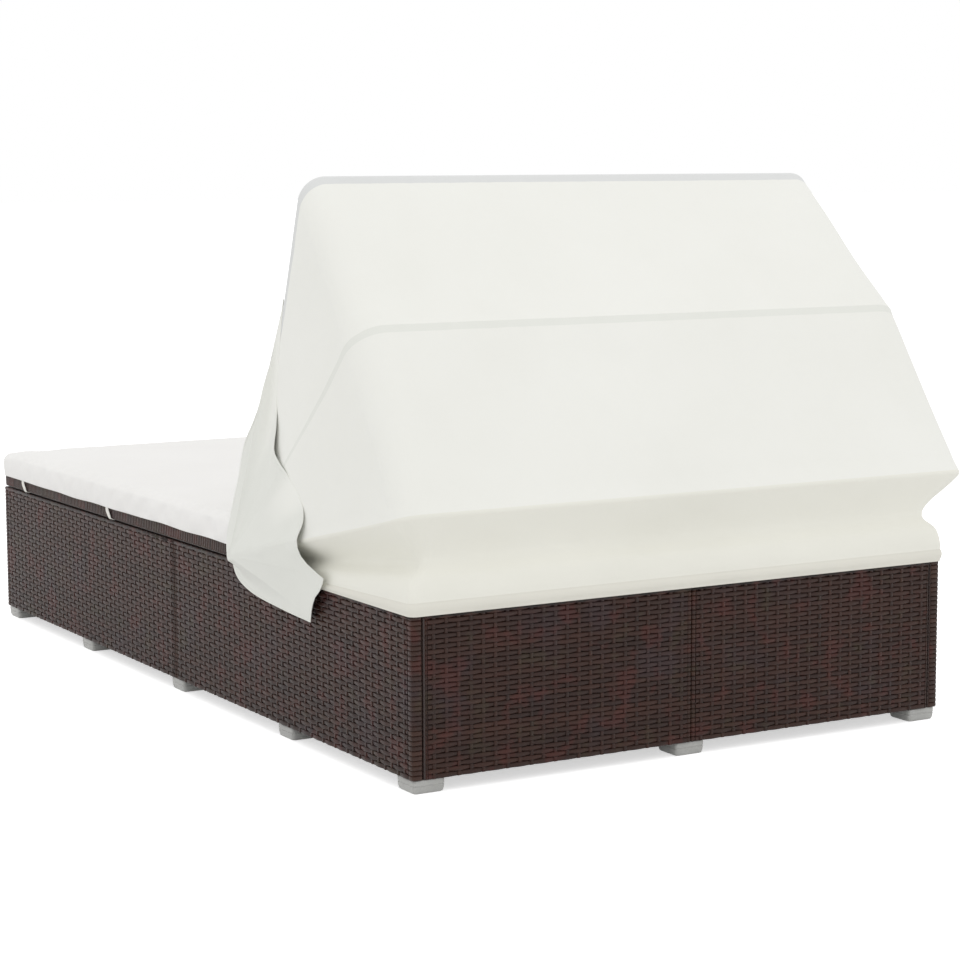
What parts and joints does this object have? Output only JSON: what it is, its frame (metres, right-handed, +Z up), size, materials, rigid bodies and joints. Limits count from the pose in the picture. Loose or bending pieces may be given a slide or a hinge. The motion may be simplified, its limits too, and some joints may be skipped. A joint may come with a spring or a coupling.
{
  "type": "outdoor daybed with canopy",
  "caption": "Low woven garden daybed with a one-piece pad, a lifting backrest and a fold-down fabric canopy on bent tube hoops over the head end.",
  "frame": {"origin": "on the floor at the middle of the bed, at the centre of the underside of the middle foot", "axes": "+Z up, +Y along the bed towards the head end with the canopy, +X to the right seen from the foot end"},
  "size_m": [1.2322, 2.0238, 1.0499],
  "materials": {
    "woven_panel": "flat woven plastic strand, dark brown, slight sheen",
    "woven_deck": "flat woven plastic strand, dark brown",
    "foot_cup": "light grey moulded cups",
    "frame_metal": "dark brown powder coat",
    "hoop_tube": "pale powder coat",
    "bolt_steel": "zinc plated",
    "canopy_fabric": "cream white water-repellent polyester, matt",
    "mattress_fabric": "cream white polyester cover, matt",
    "tie_webbing": "white cotton tape"
  },
  "bodies": {
    "base": {"canopy_flap_left": "canopy_fabric", "canopy_flap_right": "canopy_fabric", "canopy_skirt": "canopy_fabric", "centre_beam": "frame_metal", "centre_foot_foot": "foot_cup", "centre_foot_head": "foot_cup", "centre_foot_middle": "foot_cup", "centre_post_foot": "frame_metal", "centre_post_head": "frame_metal", "centre_post_middle": "frame_metal", "cross_rail_backrest_hinge": "frame_metal", "cross_rail_deck_joint": "frame_metal", "cross_rail_foot": "frame_metal", "cross_rail_head": "frame_metal", "deck_foot": "woven_deck", "deck_seat": "woven_deck", "end_panel_foot_left": "woven_panel", "end_panel_foot_right": "woven_panel", "end_panel_head_left": "woven_panel", "end_panel_head_right": "woven_panel", "foot_foot_centre": "foot_cup", "foot_foot_left": "foot_cup", "foot_foot_quarter_left": "foot_cup", "foot_foot_quarter_right": "foot_cup", "foot_foot_right": "foot_cup", "foot_head_centre": "foot_cup", "foot_head_left": "foot_cup", "foot_head_quarter_left": "foot_cup", "foot_head_quarter_right": "foot_cup", "foot_head_right": "foot_cup", "foot_middle_left": "foot_cup", "foot_middle_right": "foot_cup", "mattress_main": "mattress_fabric", "mattress_tie_foot_left": "tie_webbing", "mattress_tie_foot_right": "tie_webbing", "mattress_tie_seat_left": "tie_webbing", "mattress_tie_seat_right": "tie_webbing", "pivot_bolt_left": "bolt_steel", "pivot_bolt_right": "bolt_steel", "pivot_bracket_left": "frame_metal", "pivot_bracket_right": "frame_metal", "ratchet_rail_left": "frame_metal", "ratchet_rail_right": "frame_metal", "side_panel_foot_left": "woven_panel", "side_panel_foot_right": "woven_panel", "side_panel_head_left": "woven_panel", "side_panel_head_right": "woven_panel"},
    "backrest": {"backrest_deck": "woven_deck", "mattress_head": "mattress_fabric", "stay_pin_left": "bolt_steel", "stay_pin_right": "bolt_steel"},
    "stay": {"backrest_stay": "frame_metal"},
    "rear_bow": {"rear_hoop": "hoop_tube"},
    "mid_bow": {"mid_hoop": "hoop_tube", "canopy_rear_gore": "canopy_fabric"},
    "front_bow": {"front_hoop": "hoop_tube", "canopy_front_gore": "canopy_fabric"}
  },
  "joints": [
    {"name": "backrest_lift", "type": "hinge", "parent": "base", "child": "backrest", "pos_m": [0, 0.34, 0.3248], "axis": [1, 0, 0], "range_deg": [0, 42]},
    {"name": "stay_swing", "type": "hinge", "parent": "backrest", "child": "stay", "pos_m": [0, 0.58, 0.3008], "axis": [1, 0, 0], "range_deg": [-82.4, 0]},
    {"name": "rear_hoop_fold", "type": "hinge", "parent": "base", "child": "rear_bow", "pos_m": [0, 0.34, 0.3248], "axis": [1, 0, 0], "range_deg": [-12.9, 0], "deforming": ["canopy_skirt", "canopy_flap_right", "canopy_flap_left"]},
    {"name": "mid_hoop_fold", "type": "hinge", "parent": "rear_bow", "child": "mid_bow", "pos_m": [0, 0.34, 0.3248], "axis": [1, 0, 0], "range_deg": [-28.3, 0], "deforming": ["canopy_rear_gore"]},
    {"name": "front_hoop_fold", "type": "hinge", "parent": "mid_bow", "child": "front_bow", "pos_m": [0, 0.34, 0.3248], "axis": [1, 0, 0], "range_deg": [-24.4, 0], "deforming": ["canopy_front_gore"]}
  ],
  "couplings": [
    {"joint": "stay_swing", "follows": "backrest_lift", "ratio": -1.96}
  ]
}
